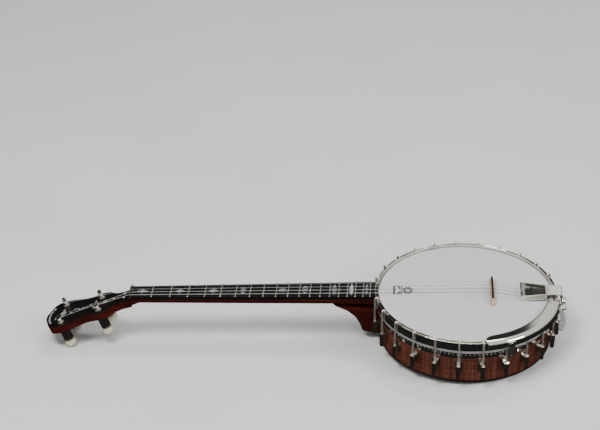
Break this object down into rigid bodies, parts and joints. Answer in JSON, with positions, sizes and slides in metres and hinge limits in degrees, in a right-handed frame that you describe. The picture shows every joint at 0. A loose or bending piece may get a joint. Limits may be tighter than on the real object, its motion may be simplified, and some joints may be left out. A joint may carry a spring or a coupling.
{
  "type": "tenor banjo",
  "caption": "Open-back four-string tenor banjo with frosted head, grooved hoop and hooks, planetary tuners, armrest and long tailpiece, modelled as separate parts with turning tuners",
  "frame": {"origin": "under the middle of the banjo's box, at its lowest point (the tuner buttons' faces), lying on its back", "axes": "+Z is the pot's axis, up out of the drum head; +X runs along the neck from the peghead to the tail; +Y is the treble side"},
  "size_m": [0.8514, 0.3032, 0.123],
  "materials": {
    "rim_shell": "gloss lacquer",
    "rim_cap": "gloss lacquer",
    "tone_tube": "polished nickel",
    "tone_hoop": "polished nickel",
    "drum_head": "frosted",
    "head_skirt": "frosted",
    "flesh_hoop": "satin",
    "tension_hoop": "polished nickel",
    "bracket_shoes": "polished nickel",
    "shoe_bolts": "polished nickel",
    "tension_hooks": "polished nickel",
    "hook_nuts": "polished nickel",
    "coordinator_rods": "brushed",
    "neck_bolts": "brushed",
    "neck_bolt_nuts": "polished nickel",
    "tail_bolts": "polished nickel",
    "neck_wood": "gloss stain",
    "heel_cap": "gloss lacquer",
    "fingerboard": "satin ebony",
    "frets": "polished",
    "position_inlays": "pearl",
    "string_nut": "black, polished",
    "truss_rod": "brushed",
    "truss_rod_cover": "satin ebony",
    "truss_cover_screws": "polished nickel",
    "peghead_overlay": "satin ebony",
    "peghead_inlays": "pearl",
    "bridge_base": "bare maple",
    "bridge_top": "satin ebony",
    "tailpiece_frame": "polished nickel",
    "tailpiece_anchor": "polished nickel",
    "tailpiece_screw": "polished nickel",
    "tailpiece_bracket": "polished nickel",
    "tailpiece_bolt": "polished nickel",
    "armrest_plate": "polished nickel",
    "armrest_brackets": "polished nickel",
    "armrest_screws": "polished nickel",
    "tuner_cases": "polished nickel",
    "tuner_bushings": "polished nickel",
    "string_1": "plain and wound steel",
    "string_2": "plain and wound steel",
    "string_3": "plain and wound steel",
    "string_4": "plain and wound steel",
    "tuner_post_1": "polished nickel",
    "tuner_post_2": "polished nickel",
    "tuner_post_3": "polished nickel",
    "tuner_post_4": "polished nickel",
    "string_winding_1": "plain and wound steel",
    "string_winding_2": "plain and wound steel",
    "string_winding_3": "plain and wound steel",
    "string_winding_4": "plain and wound steel",
    "planet_gears_1": "machined",
    "planet_gears_2": "machined",
    "planet_gears_3": "machined",
    "planet_gears_4": "machined",
    "tuner_button_1": "ivoroid",
    "tuner_button_2": "ivoroid",
    "tuner_button_3": "ivoroid",
    "tuner_button_4": "ivoroid"
  },
  "bodies": {
    "banjo": {"rim_shell": "rim_shell", "rim_cap": "rim_cap", "tone_tube": "tone_tube", "tone_hoop": "tone_hoop", "drum_head": "drum_head", "head_skirt": "head_skirt", "flesh_hoop": "flesh_hoop", "tension_hoop": "tension_hoop", "bracket_shoes": "bracket_shoes", "shoe_bolts": "shoe_bolts", "tension_hooks": "tension_hooks", "hook_nuts": "hook_nuts", "coordinator_rods": "coordinator_rods", "neck_bolts": "neck_bolts", "neck_bolt_nuts": "neck_bolt_nuts", "tail_bolts": "tail_bolts", "neck_wood": "neck_wood", "heel_cap": "heel_cap", "fingerboard": "fingerboard", "frets": "frets", "position_inlays": "position_inlays", "string_nut": "string_nut", "truss_rod": "truss_rod", "truss_rod_cover": "truss_rod_cover", "truss_cover_screws": "truss_cover_screws", "peghead_overlay": "peghead_overlay", "peghead_inlays": "peghead_inlays", "bridge_base": "bridge_base", "bridge_top": "bridge_top", "tailpiece_frame": "tailpiece_frame", "tailpiece_anchor": "tailpiece_anchor", "tailpiece_screw": "tailpiece_screw", "tailpiece_bracket": "tailpiece_bracket", "tailpiece_bolt": "tailpiece_bolt", "armrest_plate": "armrest_plate", "armrest_brackets": "armrest_brackets", "armrest_screws": "armrest_screws", "tuner_cases": "tuner_cases", "tuner_bushings": "tuner_bushings", "string_1": "string_1", "string_2": "string_2", "string_3": "string_3", "string_4": "string_4"},
    "post_1": {"tuner_post_1": "tuner_post_1", "string_winding_1": "string_winding_1", "planet_gears_1": "planet_gears_1"},
    "post_2": {"tuner_post_2": "tuner_post_2", "string_winding_2": "string_winding_2", "planet_gears_2": "planet_gears_2"},
    "post_3": {"tuner_post_3": "tuner_post_3", "string_winding_3": "string_winding_3", "planet_gears_3": "planet_gears_3"},
    "post_4": {"tuner_post_4": "tuner_post_4", "string_winding_4": "string_winding_4", "planet_gears_4": "planet_gears_4"},
    "button_1": {"tuner_button_1": "tuner_button_1"},
    "button_2": {"tuner_button_2": "tuner_button_2"},
    "button_3": {"tuner_button_3": "tuner_button_3"},
    "button_4": {"tuner_button_4": "tuner_button_4"}
  },
  "joints": [
    {"name": "button_turn_1", "type": "hinge", "parent": "banjo", "child": "button_1", "pos_m": [-0.3207, 0.018, 0.03331], "axis": [-0.3355, 0, 0.9421], "continuous": true},
    {"name": "post_turn_1", "type": "hinge", "parent": "banjo", "child": "post_1", "pos_m": [-0.3207, 0.018, 0.03331], "axis": [-0.3355, 0, 0.9421], "continuous": true},
    {"name": "button_turn_2", "type": "hinge", "parent": "banjo", "child": "button_2", "pos_m": [-0.3207, -0.018, 0.03331], "axis": [-0.3355, 0, 0.9421], "continuous": true},
    {"name": "post_turn_2", "type": "hinge", "parent": "banjo", "child": "post_2", "pos_m": [-0.3207, -0.018, 0.03331], "axis": [-0.3355, 0, 0.9421], "continuous": true},
    {"name": "button_turn_3", "type": "hinge", "parent": "banjo", "child": "button_3", "pos_m": [-0.38334, 0.025, 0.011], "axis": [-0.3355, 0, 0.9421], "continuous": true},
    {"name": "post_turn_3", "type": "hinge", "parent": "banjo", "child": "post_3", "pos_m": [-0.38334, 0.025, 0.011], "axis": [-0.3355, 0, 0.9421], "continuous": true},
    {"name": "button_turn_4", "type": "hinge", "parent": "banjo", "child": "button_4", "pos_m": [-0.38334, -0.025, 0.011], "axis": [-0.3355, 0, 0.9421], "continuous": true},
    {"name": "post_turn_4", "type": "hinge", "parent": "banjo", "child": "post_4", "pos_m": [-0.38334, -0.025, 0.011], "axis": [-0.3355, 0, 0.9421], "continuous": true}
  ],
  "couplings": [
    {"joint": "post_turn_1", "follows": "button_turn_1", "ratio": 0.25},
    {"joint": "post_turn_2", "follows": "button_turn_2", "ratio": 0.25},
    {"joint": "post_turn_3", "follows": "button_turn_3", "ratio": 0.25},
    {"joint": "post_turn_4", "follows": "button_turn_4", "ratio": 0.25}
  ]
}
